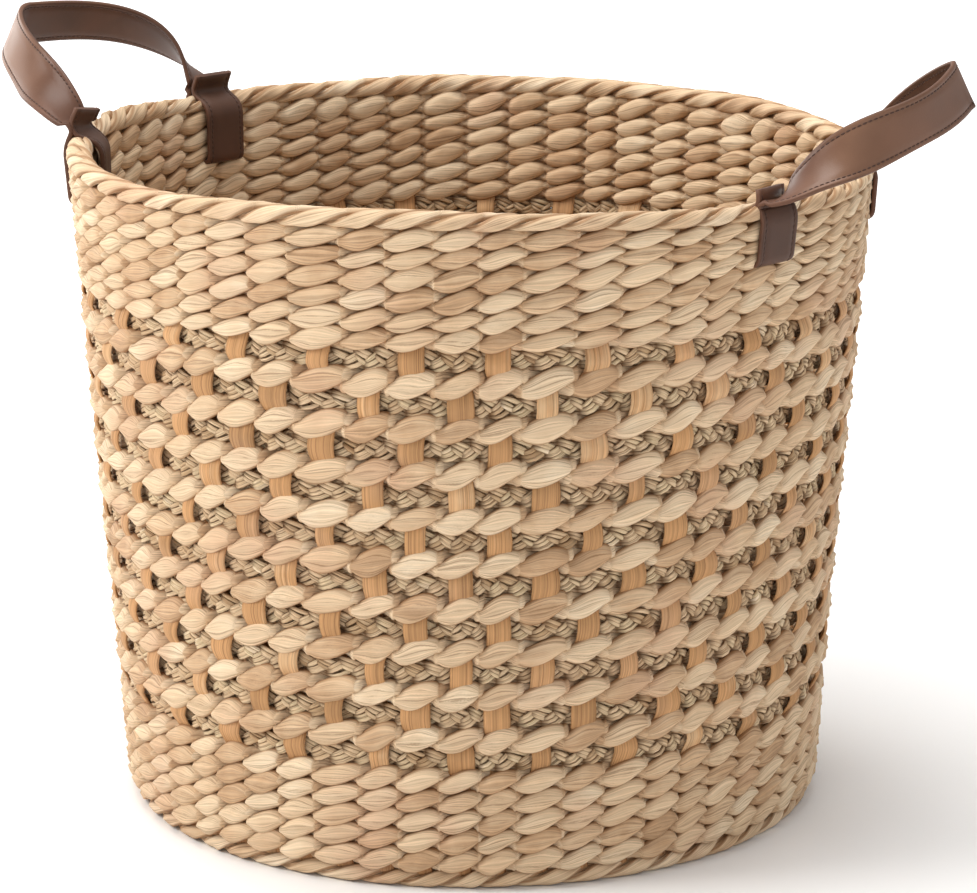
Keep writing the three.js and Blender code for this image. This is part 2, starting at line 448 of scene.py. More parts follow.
RING_INPUTS = [
    ("Radius", "Float", 0.19),
    ("Level", "Float", 0.1),
    ("Height", "Float", 0.01),
    ("Depth", "Float", 0.013),
    ("Sides", "Int", 12),
    ("Seed", "Int", 0),
    ("Material", "Material", None),
]


def twining_recipe():
    """Two weavers that pass each other between the stakes, one outside and one inside."""
    recipe = Recipe(
        "Twined Row",
        RING_INPUTS
        + [("Stakes", "Int", 56), ("Phase", "Float", 0.0), ("Steps", "Int", 14), ("Flat", "Float", 0.0)]
        + [("Forward", "Float", 0.2), ("Thinner", "Float", 0.0)],
    )
    radius, level = recipe.value("Radius"), recipe.value("Level")
    height, depth = recipe.value("Height"), recipe.value("Depth")
    seed, stakes, flat = recipe.value("Seed"), recipe.value("Stakes"), recipe.value("Flat")
    geometry, along, around, strand = recipe.strands(2, stakes * recipe.value("Steps"), recipe.value("Sides"))
    even = along * stakes + strand
    turn = even + 0.07 * (even * TAU).sin()
    cross = (turn * math.pi).cos()
    forward = cross + recipe.value("Forward") * (1.0 - cross * cross)
    swing = forward.sign() * forward.size().power(0.45)
    climb = (turn * math.pi).sin()
    float_share = cross * cross
    count = (turn + 0.5).floor()
    grain = count.modulo(stakes) + strand * 200.0
    plump = recipe.chance(grain, 0.9, 1.12, seed)
    shift = recipe.chance(grain, -0.04, 0.04, seed + 11)
    press = recipe.chance(grain, -0.035, 0.035, seed + 12)
    slant = recipe.chance(grain, 0.19, 0.26, seed + 15)
    half_height = height * (0.29 + (plump * 0.525 - 0.29) * float_share.power(0.42))
    half_depth = depth * (0.41 - 0.17 * float_share.power(0.4))
    half_height = half_height * (1.0 - recipe.value("Thinner") * (0.0 - cross).at_least(0.0))
    edge = 0.85 + 0.65 * (1.0 - float_share.power(0.5))
    angle = recipe.uneven((turn - strand + recipe.value("Phase")) / stakes * TAU)
    section = around * TAU
    ridge = 1.0 + 0.035 * (section * 5.0 + grain * 1.7).sin() * float_share
    upright = section.sin().sign() * section.sin().size().power(edge)
    level_side = section.cos().sign() * section.cos().size().power(edge)
    across = depth * (0.265 * swing + press * float_share) + half_depth * level_side * ridge
    upward = height * (slant * climb + shift * float_share) + half_height * upright * ridge
    circle = recipe.xyz(angle.cos(), angle.sin(), level * 9.0)
    upward = upward + recipe.wander(circle, 3.1, 0.8 * MM)
    out = radius + across.to(upward, flat)
    up = level + upward.to(across, flat)
    place = recipe.xyz(out * angle.cos(), out * angle.sin(), up)
    pitch = radius * TAU / stakes
    length = (turn - count) * pitch + recipe.chance(grain, 0.0, 9.0, seed + 14)
    roll = section + (turn - count) * recipe.chance(grain, 0.3, 1.3, seed + 17)
    fibre = recipe.xyz(length, height * 0.42 * roll.sin(), height * 0.42 * roll.cos())
    tone = recipe.chance(grain, 0.0, 1.0, seed + 13)
    # pinch: painted shade along the top and bottom edges of each strand, where the rows meet.
    recipe.finish(geometry, place, fibre, tone, section.sin().size().power(5.0))
    return recipe


def rope_recipe():
    """Strands laid round each other, as in the rim and the foot."""
    recipe = Recipe(
        "Laid Rope", RING_INPUTS + [("Strands", "Int", 3), ("Turns", "Int", 16), ("Steps", "Int", 30)]
    )
    radius, level = recipe.value("Radius"), recipe.value("Level")
    half_height, half_depth = recipe.value("Height") * 0.5, recipe.value("Depth") * 0.5
    strands, turns, seed = recipe.value("Strands"), recipe.value("Turns"), recipe.value("Seed")
    geometry, along, around, strand = recipe.strands(
        strands, turns * recipe.value("Steps"), recipe.value("Sides")
    )
    lay = along * turns + strand / strands
    face = lay * 2.0 + 0.5
    grain = face.floor().modulo(turns * 2.0) + strand * 200.0
    phase = lay * TAU
    front = phase.cos().size()
    plump = recipe.chance(grain, 0.86, 1.1, seed)
    along_face = plump * (0.34 + 0.46 * front.power(1.5))
    through_face = 0.5 - 0.08 * front
    angle = recipe.uneven(along * TAU)
    section = around * TAU
    ridge = 1.0 + 0.035 * (section * 5.0 + grain * 1.7).sin()
    inward, sideways = section.cos() * through_face * ridge, section.sin() * along_face * ridge
    offset = 0.5 + 0.06 * front
    across = half_depth * (phase.cos() * (offset + inward) - phase.sin() * sideways)
    upward = half_height * (phase.sin() * (offset + inward) + phase.cos() * sideways)
    circle = recipe.xyz(angle.cos(), angle.sin(), level * 9.0)
    out = radius + across
    up = level + upward + recipe.wander(circle, 3.1, 0.6 * MM)
    place = recipe.xyz(out * angle.cos(), out * angle.sin(), up.at_least(0.0))
    length = along * radius * TAU + recipe.chance(grain, 0.0, 9.0, seed + 14)
    roll = section + (face - face.floor()) * 1.2
    fibre = recipe.xyz(length, half_height * 0.85 * roll.sin(), half_height * 0.85 * roll.cos())
    tone = recipe.chance(grain, 0.0, 1.0, seed + 13)
    # Painted shade along the edges of each strand.
    crease_shade = section.sin().size().power(6.0) * 0.9
    recipe.finish(geometry, place, fibre, tone, crease_shade)
    return recipe


def braid_recipe():
    """A flat braid of three strands, each of a few seagrass blades side by side."""
    recipe = Recipe(
        "Flat Braid",
        RING_INPUTS
        + [
            ("Cycles", "Int", 43),
            ("Steps", "Int", 12),
            ("Blades", "Int", 3),
            ("Stakes", "Int", 56),
            ("Phase", "Float", 0.0),
            ("Side", "Float", 1.0),
        ],
    )
    radius, level = recipe.value("Radius"), recipe.value("Level")
    height, depth = recipe.value("Height"), recipe.value("Depth")
    cycles, blades, seed = recipe.value("Cycles"), recipe.value("Blades"), recipe.value("Seed")
    geometry, along, around, number = recipe.strands(
        blades * 3.0, cycles * recipe.value("Steps"), recipe.value("Sides")
    )
    strand = (number / blades).floor()
    blade = number - strand * blades - (blades - 1.0) * 0.5
    lay = along * cycles + strand / 3.0
    phase = lay * TAU
    lobe = (lay * 2.0 + 0.5).floor().modulo(cycles * 2.0) + number * 200.0
    bundle = (lay * 2.0 + 0.5).floor().modulo(cycles * 2.0) + strand * 1000.0
    slip = recipe.chance(lobe, -0.34, 0.34, seed)
    lift = recipe.chance(bundle, -1.0, 1.0, seed + 5)
    fan = (phase.cos()).size()
    swing = height * 0.27
    slope = phase.cos() * swing * cycles / radius
    run = 1.0 / (slope * slope + 1.0).power(0.5)
    section = around * TAU
    blade_pitch = height * 0.19
    half_width = blade_pitch * (0.48 + 0.14 * fan)
    half_thick = depth * (0.1 + 0.04 * fan)
    sideways = (blade + slip * fan) * blade_pitch * (0.72 + 0.28 * fan) + half_width * section.cos()
    circle_angle = along * TAU
    circle = recipe.xyz(circle_angle.cos(), circle_angle.sin(), seed * 0.37)
    shift = sideways * slope * run / radius
    angle = recipe.uneven(circle_angle - shift)
    bow = (circle_angle * recipe.value("Stakes") * 0.5 - recipe.value("Phase") * math.pi).cos()
    edge = recipe.chance(number, -0.03, 0.03, seed + 3)
    out = (
        radius
        + depth * (edge + slip * fan * 0.1 - 0.2 * (phase * 2.0).sin())
        + half_thick * section.sin()
        - bow * recipe.value("Side") * depth * 0.13
    )
    up = level + swing * phase.sin() + sideways * run + lift * fan * 0.5 * MM
    up = up + recipe.wander(circle, 2.7, 0.5 * MM)
    place = recipe.xyz(out * angle.cos(), out * angle.sin(), up)
    length = along * radius * TAU * 1.2 + seed * 0.731 + number * 0.37
    fibre = recipe.xyz(length, half_width * section.cos(), half_width * section.sin())
    tone = recipe.chance(bundle, 0.0, 0.7, seed + 13) + recipe.chance(lobe, 0.0, 0.3, seed + 16)
    # Painted shade where a strand turns at the braid's edge and dips under the others, and along each blade's
    # edges.
    crease_shade = section.cos().size().power(4.0)
    recipe.finish(geometry, place, fibre, tone, (1.0 - fan).at_least(crease_shade))
    return recipe


def stake_recipe():
    """Flat strips that pass outside one braid and inside the next, all the way up."""
    recipe = Recipe(
        "Stakes",
        [
            ("Stakes", "Int", 56),
            ("Phase", "Float", 0.0),
            ("Width", "Float", 0.0115),
            ("Thickness", "Float", 0.0022),
            ("Swing", "Float", 0.0055),
            ("Low", "Float", 0.01),
            ("High", "Float", 0.33),
            ("Band", "Float", BAND_1_MIDDLE),
            ("Band Pitch", "Float", BAND_PITCH),
            ("Bands", "Int", len(BRAIDS)),
            ("Steps", "Int", 150),
            ("Sides", "Int", 10),
            ("Seed", "Int", 0),
            ("Material", "Material", None),
        ],
    )
    stakes, seed, steps = recipe.value("Stakes"), recipe.value("Seed"), recipe.value("Steps")
    geometry, along, around, strand = recipe.strands(stakes, steps, recipe.value("Sides"))
    low, high = recipe.value("Low"), recipe.value("High")
    up = low + (high - low) * along
    closed = (along * steps).at_most((1.0 - along) * steps).at_most(1.0)
    band = (recipe.value("Band") - up) / recipe.value("Band Pitch")
    number = (band + 0.5).floor()
    inside = (band + 0.5).at_least(0.0).at_most(0.6) / 0.6
    inside = inside * ((recipe.value("Bands") - 0.5 - band).at_least(0.0).at_most(0.6) / 0.6)
    parity = ((strand * 0.5).floor() * 2.0 - strand) * 2.0 + 1.0
    wave = (band * math.pi).cos()
    swing = wave * parity * recipe.value("Swing") * inside
    face = strand * 32.0 + number
    wide = recipe.chance(face, 0.72, 1.18, seed) + recipe.chance(strand, -0.08, 0.08, seed + 1)
    open_share = wave.size()
    lean = recipe.chance(face, -0.5, 0.5, seed + 4) * (band - number) * 2.0
    half_width = recipe.value("Width") * 0.5 * (0.9 + (wide - 0.9) * open_share.power(0.5)) * closed
    section = around * TAU
    sideways = half_width * section.cos()
    shift = (recipe.chance(face, -1.0, 1.0, seed + 2) + lean) * open_share * MM
    crown = 1.0 - 0.25 * section.cos() * section.cos()
    thick = recipe.value("Thickness") * 0.5 * closed
    pleat = 1.0 + 0.12 * (section.cos() * 5.0 + face).sin()
    through = thick * section.sin().sign() * section.sin().size().power(0.6) * crown * pleat
    middle = wall_middle(up)
    out = middle + swing + through
    angle = recipe.uneven((strand + recipe.value("Phase")) / stakes * TAU) + (sideways + shift) / middle
    place = recipe.xyz(out * angle.cos(), out * angle.sin(), up)
    fibre = recipe.xyz(up + strand * 0.41, sideways, through)
    tone = recipe.chance(face, 0.0, 1.0, seed + 13)
    # pinch: painted shade where a stake passes through the wall between braids, under the rows.
    recipe.finish(geometry, place, fibre, tone, (1.0 - open_share) * 0.8)
    return recipe


def lattice_recipe():
    """Crossed strips, woven over and under each other, in the middle of the base."""
    recipe = Recipe(
        "Crossed Strips",
        [
            ("Strips", "Int", 7),
            ("Reach", "Float", 0.045),
            ("Level", "Float", 0.008),
            ("Pitch", "Float", 0.012),
            ("Thickness", "Float", 0.0022),
            ("Seed", "Int", 0),
            ("Material", "Material", None),
        ],
    )
    strips, pitch = recipe.value("Strips"), recipe.value("Pitch")
    geometry, along, around, number = recipe.strands(strips * 2.0, 64, 10)
    closed = (along * 64.0).at_most((1.0 - along) * 64.0).at_most(1.0)
    way = (number / strips).floor()
    row = number - way * strips - (strips - 1.0) * 0.5
    run = (along * 2.0 - 1.0) * recipe.value("Reach")
    section = around * TAU
    side = row * pitch + pitch * 0.46 * section.cos() * closed
    wave = (run / pitch * math.pi + row * math.pi).cos() * (1.0 - way * 2.0)
    thick = recipe.value("Thickness")
    up = recipe.value("Level") + wave * thick * 0.55 + thick * 0.5 * section.sin() * closed
    place = recipe.xyz(run.to(side, way), side.to(run, way), up)
    fibre = recipe.xyz(run + number * 0.4, side, thick * section.sin())
    tone = recipe.chance(number, 0.0, 1.0, recipe.value("Seed"))
    recipe.finish(geometry, place, fibre, tone, along * 0.0)
    return recipe


# Materials


class Finish:
    """A material, with short calls for its nodes."""

    def __init__(self, name, roughness=0.7):
        self.material = bpy.data.materials.new(name)
        self.material.use_nodes = True
        self.tree = self.material.node_tree
        self.shader = self.tree.nodes["Principled BSDF"]
        self.shader.inputs["Roughness"].default_value = roughness
        self.shader.inputs["IOR"].default_value = 1.45

    def node(self, kind, settings=None, **values):
        node = self.tree.nodes.new(kind)
        for key, setting in (settings or {}).items():
            setattr(node, key, setting)
        for key, value in values.items():
            self.join(value, node.inputs[key.replace("_", " ")])
        return node

    def join(self, value, socket):
        if isinstance(value, bpy.types.NodeSocket):
            self.tree.links.new(value, socket)
        else:
            socket.default_value = value

    def read(self, name):
        return self.node("ShaderNodeAttribute", {"attribute_name": name})

    def group(self, tree, **values):
        node = self.tree.nodes.new("ShaderNodeGroup")
        node.node_tree = tree
        for key, value in values.items():
            self.join(value, node.inputs[key.replace("_", " ")])
        return node

    def ramp(self, factor, stops):
        node = self.node("ShaderNodeValToRGB")
        node.color_ramp.elements.remove(node.color_ramp.elements[1])
        for index, (place, colour) in enumerate(stops):
            elements = node.color_ramp.elements
            element = elements[0] if index == 0 else elements.new(place)
            element.position = place
            element.color = (*colour, 1)
        self.join(factor, node.inputs[0])
        return node.outputs[0]

    def mix(self, factor, first, second, blend="MIX"):
        node = self.node("ShaderNodeMix", {"data_type": "RGBA", "blend_type": blend})
        self.join(factor, node.inputs[0])
        self.join(first, node.inputs[6])
        self.join(second, node.inputs[7])
        return node.outputs[2]

    def span(self, value, low, high, to_low=0.0, to_high=1.0):
        node = self.node("ShaderNodeMapRange")
        for socket, item in zip(node.inputs, (value, low, high, to_low, to_high)):
            self.join(item, socket)
        return node.outputs[0]

    def bump(self, height, strength, distance):
        node = self.node("ShaderNodeBump", Strength=strength, Distance=distance, Height=height)
        self.join(node.outputs[0], self.shader.inputs["Normal"])


def fibre_group():
    """Long fibres along a strand: fine lines, folds and blotches."""
    tree = bpy.data.node_groups.new("Plant Fibre", "ShaderNodeTree")
    face = tree.interface
    for label, default in (("Fineness", 900.0), ("Stretch", 14.0), ("Line Width", 0.12)):
        socket = face.new_socket(label, in_out="INPUT", socket_type="NodeSocketFloat")
        socket.default_value = default
    for label in ("Fine", "Lines", "Fold", "Blotch", "Height"):
        face.new_socket(label, in_out="OUTPUT", socket_type="NodeSocketFloat")
    nodes, links = tree.nodes, tree.links
    given, result = nodes.new("NodeGroupInput"), nodes.new("NodeGroupOutput")
    fibre = nodes.new("ShaderNodeAttribute")
    fibre.attribute_name = "fibre"
    parts = nodes.new("ShaderNodeSeparateXYZ")
    links.new(fibre.outputs["Vector"], parts.inputs[0])

    def scaled(share, stretch_share):
        """The strand's own place, stretched along its length, as noise."""
        vector = nodes.new("ShaderNodeCombineXYZ")
        for axis, factor in enumerate((stretch_share, share, share)):
            times = nodes.new("ShaderNodeMath")
            times.operation = "MULTIPLY"
            source = given.outputs["Stretch"] if axis == 0 else given.outputs["Fineness"]
            scale = nodes.new("ShaderNodeMath")
            scale.operation = "MULTIPLY"
            links.new(source, scale.inputs[0])
            scale.inputs[1].default_value = factor
            links.new(parts.outputs[axis], times.inputs[0])
            links.new(scale.outputs[0], times.inputs[1])
            links.new(times.outputs[0], vector.inputs[axis])
        noise = nodes.new("ShaderNodeTexNoise")
        noise.inputs["Scale"].default_value = 1.0
        noise.inputs["Detail"].default_value = 2.0
        links.new(vector.outputs[0], noise.inputs["Vector"])
        return noise.outputs[0]

    fine = scaled(1.0, 1.0)
    fold = scaled(0.36, 1.6)
    lines = nodes.new("ShaderNodeMapRange")
    lines.interpolation_type = "SMOOTHSTEP"
    lines.inputs["From Min"].default_value = 0.58
    top = nodes.new("ShaderNodeMath")
    top.inputs[1].default_value = 0.58
    links.new(given.outputs["Line Width"], top.inputs[0])
    links.new(top.outputs[0], lines.inputs["From Max"])
    links.new(fine, lines.inputs["Value"])
    where = nodes.new("ShaderNodeTexCoord")
    blotch = nodes.new("ShaderNodeTexNoise")
    blotch.inputs["Scale"].default_value = 60.0
    blotch.inputs["Detail"].default_value = 3.0
    links.new(where.outputs["Object"], blotch.inputs["Vector"])
    height = nodes.new("ShaderNodeMath")
    height.operation = "MULTIPLY_ADD"
    height.inputs[1].default_value = 0.55
    links.new(fold, height.inputs[0])
    part = nodes.new("ShaderNodeMath")
    part.operation = "MULTIPLY"
    part.inputs[1].default_value = 0.6
    links.new(fine, part.inputs[0])
    deep = nodes.new("ShaderNodeMath")
    deep.operation = "MULTIPLY_ADD"
    deep.inputs[1].default_value = -0.4
    links.new(lines.outputs[0], deep.inputs[0])
    links.new(part.outputs[0], deep.inputs[2])
    links.new(deep.outputs[0], height.inputs[2])
    links.new(fine, result.inputs["Fine"])
    links.new(lines.outputs[0], result.inputs["Lines"])
    links.new(fold, result.inputs["Fold"])
    links.new(blotch.outputs[0], result.inputs["Blotch"])
    links.new(height.outputs[0], result.inputs["Height"])
    return tree


BLUSH_COLOUR = (0.59, 0.37, 0.235, 1)
# Colour of the fibre lines, and of the painted shade in the creases.
LINE_AND_SHADE_COLOUR = (0.24, 0.105, 0.035)
# Painted light: the pale colour of the arch where light falls on it.
PAINTED_ARCH_LIGHT_COLOUR = (0.27, 0.145, 0.088, 1)


def plant_finish(
    name, stops, dark, fineness=1600.0, stretch=9.0, line_share=0.38, relief=0.42, roughness=0.72, blush=0.55
):
    """A dry plant fibre: tone by strand, lines and folds along it, and painted shade where the pinch
    attribute marks a crease.
    """
    finish = Finish(name, roughness)
    group = finish.group(shared("Plant Fibre", fibre_group), Fineness=fineness, Stretch=stretch)
    tone = finish.read("tone").outputs["Fac"]
    pinch = finish.read("pinch").outputs["Fac"]
    varied = finish.node("ShaderNodeMath", {"operation": "MULTIPLY_ADD"})
    finish.join(group.outputs["Blotch"], varied.inputs[0])
    varied.inputs[1].default_value = 0.9
    finish.join(tone, varied.inputs[2])
    folded = finish.node("ShaderNodeMath", {"operation": "MULTIPLY_ADD"})
    finish.join(group.outputs["Fold"], folded.inputs[0])
    folded.inputs[1].default_value = 0.7
    finish.join(varied.outputs[0], folded.inputs[2])
    colour = finish.ramp(finish.span(folded.outputs[0], 0.5, 2.0), stops)
    where = finish.node("ShaderNodeTexCoord").outputs["Object"]
    zone = finish.node("ShaderNodeTexNoise", Vector=where, Scale=21.0, Detail=2.0)
    browned = finish.span(zone.outputs[0], 0.52, 0.7, 0.0, blush)
    colour = finish.mix(browned, colour, BLUSH_COLOUR)
    shade = finish.span(group.outputs["Fine"], 0.3, 0.7, 1.17, 0.74)
    grey = finish.node("ShaderNodeCombineColor", Red=shade, Green=shade, Blue=shade)
    colour = finish.mix(1.0, colour, grey.outputs[0], "MULTIPLY")
    lines = finish.span(group.outputs["Lines"], 0.0, 1.0, 0.0, line_share)
    colour = finish.mix(lines, colour, (*dark, 1))
    # Painted shade: darker towards the dark colour where pinch marks a crease or a crossing.
    deep = finish.span(pinch, 0.35, 1.0, 0.0, 0.9)
    colour = finish.mix(deep, colour, (*dark, 1))
    finish.join(colour, finish.shader.inputs["Base Color"])
    finish.bump(group.outputs["Height"], relief, 0.6 * MM)
    finish.shader.inputs["Specular IOR Level"].default_value = 0.22
    return finish.material


def shared(name, make):
    """The node tree or material of this name, made the first time it is asked for."""
    for store in (bpy.data.node_groups, bpy.data.materials):
        if name in store:
            return store[name]
    return make()


def hyacinth(colours):
    straw, honey = Vector(colours.straw), Vector(colours.honey)
    stops = [
        (0.0, honey * 0.7),
        (0.2, honey * 0.95),
        (0.4, honey.lerp(straw, 0.6)),
        (0.6, straw),
        (0.82, Vector((0.71, 0.54, 0.36))),
        (1.0, Vector((0.76, 0.61, 0.43))),
    ]
    return plant_finish("Water Hyacinth", stops, LINE_AND_SHADE_COLOUR)


def pale_hyacinth(colours):
    straw, honey = Vector(colours.straw), Vector(colours.honey)
    stops = [
        (0.0, honey * 0.85),
        (0.25, honey.lerp(straw, 0.5)),
        (0.55, straw),
        (0.8, Vector((0.74, 0.57, 0.39))),
        (1.0, Vector((0.80, 0.65, 0.47))),
    ]
    return plant_finish("Pale Water Hyacinth", stops, LINE_AND_SHADE_COLOUR)


def stake_strip(_colours):
    orange = Vector((0.5, 0.27, 0.12))
    stops = [
        (0.0, orange * 0.65),
        (0.3, orange * 0.9),
        (0.7, orange * 1.05),
        (1.0, Vector((0.66, 0.44, 0.25))),
    ]
    # The dark colour serves the fibre lines and the painted shade where a stake passes under the rows.
    return plant_finish("Stake Strip", stops, (0.2, 0.08, 0.028), fineness=1500.0, stretch=6.0, blush=0.3)


def seagrass(_colours):
    stops = [
        (0.0, Vector((0.28, 0.15, 0.07))),
        (0.25, Vector((0.47, 0.31, 0.17))),
        (0.55, Vector((0.65, 0.475, 0.30))),
        (0.8, Vector((0.62, 0.475, 0.29))),
        (1.0, Vector((0.88, 0.71, 0.52))),
    ]
    # Dark colour of the fibre lines and of the painted shade in the gaps between lobes.
    dark = (0.1, 0.042, 0.014)
    return plant_finish("Seagrass", stops, dark, fineness=1700.0, stretch=24.0, line_share=0.5, blush=0.2)


def leather_finish(name, colour, roughness, wear, arch_painted_light):
    """Smooth leather: fine grain, faint creases, paler worn edges and painted light that makes the arch
    paler.
    """
    finish = Finish(name, roughness)
    where = finish.node("ShaderNodeTexCoord").outputs["Object"]
    grain = finish.node("ShaderNodeTexVoronoi", {"feature": "F1"}, Vector=where, Scale=1500.0)
    cloud = finish.node("ShaderNodeTexNoise", Vector=where, Scale=38.0, Detail=4.0)
    patch = finish.span(cloud.outputs[0], 0.3, 0.72)
    base = Vector(colour)
    shade = finish.mix(patch, (*(base * 0.82), 1), (*(base * 1.2), 1))
    # Painted light: paler towards the colour of the lit arch, by the arch attribute.
    arch = finish.span(finish.read("arch").outputs["Fac"], 0.0, 1.0, 0.0, arch_painted_light)
    shade = finish.mix(arch, shade, PAINTED_ARCH_LIGHT_COLOUR)
    edge = finish.read("edge").outputs["Fac"]
    worn = finish.node("ShaderNodeMath", {"operation": "MULTIPLY"})
    finish.join(edge, worn.inputs[0])
    finish.join(finish.span(cloud.outputs[0], 0.4, 0.65, wear * 0.2, wear), worn.inputs[1])
    shade = finish.mix(worn.outputs[0], shade, (*(base * 1.9), 1))
    finish.join(shade, finish.shader.inputs["Base Color"])
    sheen = finish.span(cloud.outputs[0], 0.3, 0.7, roughness - 0.06, roughness + 0.08)
    finish.join(sheen, finish.shader.inputs["Roughness"])
    finish.bump(grain.outputs[0], 0.12, 0.25 * MM)
    finish.shader.inputs["Specular IOR Level"].default_value = 0.3
    return finish.material


def leather_outside(colours):
    return leather_finish("Leather Outside", colours.leather, 0.38, 0.3, 0.5)


# A darker copy of the leather: painted shade on the face of the strap that turns from the light.
def leather_painted_shade(colours):
    return leather_finish("Leather Inside", Vector(colours.leather) * 0.66, 0.5, 0.2, 0.0)


def leather_edge(colours):
    # The edges take a little of the arch's painted light.
    return leather_finish("Leather Edge", Vector(colours.leather) * 0.85, 0.5, 0.35, 0.2)


def stitching(_colours):
    finish = Finish("Stitching Thread", 0.6)
    where = finish.node("ShaderNodeTexCoord").outputs["Object"]
    noise = finish.node("ShaderNodeTexNoise", Vector=where, Scale=900.0, Detail=2.0)
    colour = finish.mix(noise.outputs[0], (0.03, 0.012, 0.006, 1), (0.085, 0.035, 0.02, 1))
    finish.join(colour, finish.shader.inputs["Base Color"])
    finish.bump(noise.outputs[0], 0.4, 0.2 * MM)
    return finish.material


def finish_for(make):
    """One material for each finish, made once."""
    name = make.__name__
    if name not in FINISHES:
        FINISHES[name] = make(bpy.context.scene.basket_colours)
    return FINISHES[name]


FINISHES = {}


# Pieces


def stand_for(piece, node, body="basket"):
    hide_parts(node)
    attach(piece, body)


def row_values(node, seed):
    sizes = bpy.context.scene.basket_sizes
    outside, low, high = ring_of(node)
    return {
        "Radius": outside - sizes.row_depth / 2,
        "Level": (low + high) / 2,
        "Height": high - low + 0.7 * MM,
        "Depth": sizes.row_depth,
        "Stakes": sizes.stakes,
        "Phase": sizes.stake_phase,
        "Steps": 14,
        "Sides": 14,
        "Seed": seed,
        "Material": finish_for(hyacinth),
    }


class BASKET_OT_twined_rows(bpy.types.Operator):
    """Weave the upper, middle and lower rows"""

    bl_idname = "basket.twined_rows"
    bl_label = "Twined Rows"

    def execute(self, context):
        recipe = twining_recipe()
        for seed, node in enumerate(UPPER_ROWS + MIDDLE_ROWS + LOWER_ROWS, 1):
            values = row_values(node, seed)
            if node == UPPER_ROWS[0]:
                values["Level"] += 1.2 * MM
                values["Height"] += 2.4 * MM
            if node in MIDDLE_ROWS:
                values["Forward"] = 0.36
                values["Thinner"] = 0.3
            stand_for(recipe.grow(node + "_twining", values), node)
        return {"FINISHED"}


class BASKET_OT_ropes(bpy.types.Operator):
    """Lay the rim rope and the foot rope"""

    bl_idname = "basket.ropes"
    bl_label = "Rim and Foot Ropes"

    def execute(self, context):
        recipe = rope_recipe()
        for node, seed, grains in (("rim_rope", 41, 57), ("foot_rope", 42, 54)):
            low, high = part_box(node)
            depth = 13.5 * MM if node == "rim_rope" else 11 * MM
            height = 10.8 * MM if node == "rim_rope" else high[2] - low[2]
            values = {
                "Radius": high[1] - depth / 2,
                "Level": high[2] - height / 2,
                "Height": height,
                "Depth": depth,
                "Strands": 3,
                "Turns": grains // 3,
                "Steps": 36,
                "Sides": 20,
                "Seed": seed,
                "Material": finish_for(pale_hyacinth),
            }
            stand_for(recipe.grow(node + "_laid", values), node)
        return {"FINISHED"}


class BASKET_OT_braids(bpy.types.Operator):
    """Lay the seagrass braids"""

    bl_idname = "basket.braids"
    bl_label = "Seagrass Braids"

    def execute(self, context):
        sizes = context.scene.basket_sizes
        recipe = braid_recipe()
        for number, node in enumerate(BRAIDS, 1):
            _, low, high = ring_of(node)
            level = (low + high) / 2
            radius = wall_middle(level)
            values = {
                "Radius": radius,
                "Level": level,
                "Height": high - low + 1.6 * MM,
                "Depth": 9 * MM,
                "Cycles": round(TAU * radius / (3 * sizes.braid_lobe)),
                "Steps": 12,
                "Sides": 6,
                "Blades": 3,
                "Stakes": sizes.stakes,
                "Phase": sizes.stake_phase,
                "Side": 1.0 if number % 2 else -1.0,
                "Seed": 60 + number,
                "Material": finish_for(seagrass),
            }
            stand_for(recipe.grow(node + "_plait", values), node)
        return {"FINISHED"}


class BASKET_OT_stakes(bpy.types.Operator):
    """Stand the stakes in the wall"""

    bl_idname = "basket.stakes"
    bl_label = "Stakes"

    def execute(self, context):
        sizes = context.scene.basket_sizes
        values = {
            "Stakes": sizes.stakes,
            "Phase": sizes.stake_phase,
            "Width": sizes.stake_width,
            "Low": FOOT_TOP - 4 * MM,
            "High": RIM_LOW + 5 * MM,
            "Seed": 91,
            "Material": finish_for(stake_strip),
        }
        stakes = stake_recipe().grow("stakes", values)
        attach(stakes, "basket")
        return {"FINISHED"}


class BASKET_OT_base(bpy.types.Operator):
    """Weave the base"""

    bl_idname = "basket.base"
    bl_label = "Base"

    def execute(self, context):
        low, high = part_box("base_weave")
        edge = high[1]
        recipe = twining_recipe()
        rounds = 11
        pitch = (edge - 42 * MM) / rounds
        for number in range(rounds):
            radius = edge - pitch * (number + 0.5)
            values = {
                "Radius": radius,
                "Level": low[2] + 4.2 * MM + 3.2 * MM * (1 - radius / edge),
                "Height": pitch,
                "Depth": 7.4 * MM,
                "Stakes": 2 * round(radius * math.pi / (22 * MM)),
                "Phase": 0.17 * number,
                "Steps": 8,
                "Sides": 10,
                "Flat": 1.0,
                "Seed": 120 + number,
                "Material": finish_for(hyacinth),
            }
            stand_for(recipe.grow(f"base_round_{number + 1}", values), "base_weave")
        values = {
            "Strips": 8,
            "Reach": 47 * MM,
            "Pitch": 11.4 * MM,
            "Level": low[2] + 7 * MM,
            "Seed": 140,
            "Material": finish_for(stake_strip),
        }
        stand_for(lattice_recipe().grow("base_cross", values), "base_weave")
        return {"FINISHED"}


# Straps


class StrapEnd:
    """How one end of a strap leaves its pinch and reaches the top of the arch. Lengths in mm."""

    def __init__(
        self, rise, lean, yaw, start, finish, bow, twists, inset, tail_lean, tail_turn=0, tail_cut=0
    ):
        self.rise = rise  # of the pinch over the top of the rim
        self.inset = inset  # of the pinch, where the wall leans in
        self.tail_lean = tail_lean  # inwards from upright, in degrees
        self.tail_turn = tail_turn  # of the tail about the vertical, in degrees
        self.tail_cut = tail_cut  # off the length of the tail
        self.lean = lean  # outwards from upright where it leaves the pinch, in radians
        self.yaw = yaw  # towards the middle of the handle where it leaves the pinch
        self.start = start  # how far the arch holds each direction of its ends
        self.finish = finish
        self.bow = bow  # outwards, sideways and up, halfway along
        self.twists = twists  # turn of the strap about its own length, in radians


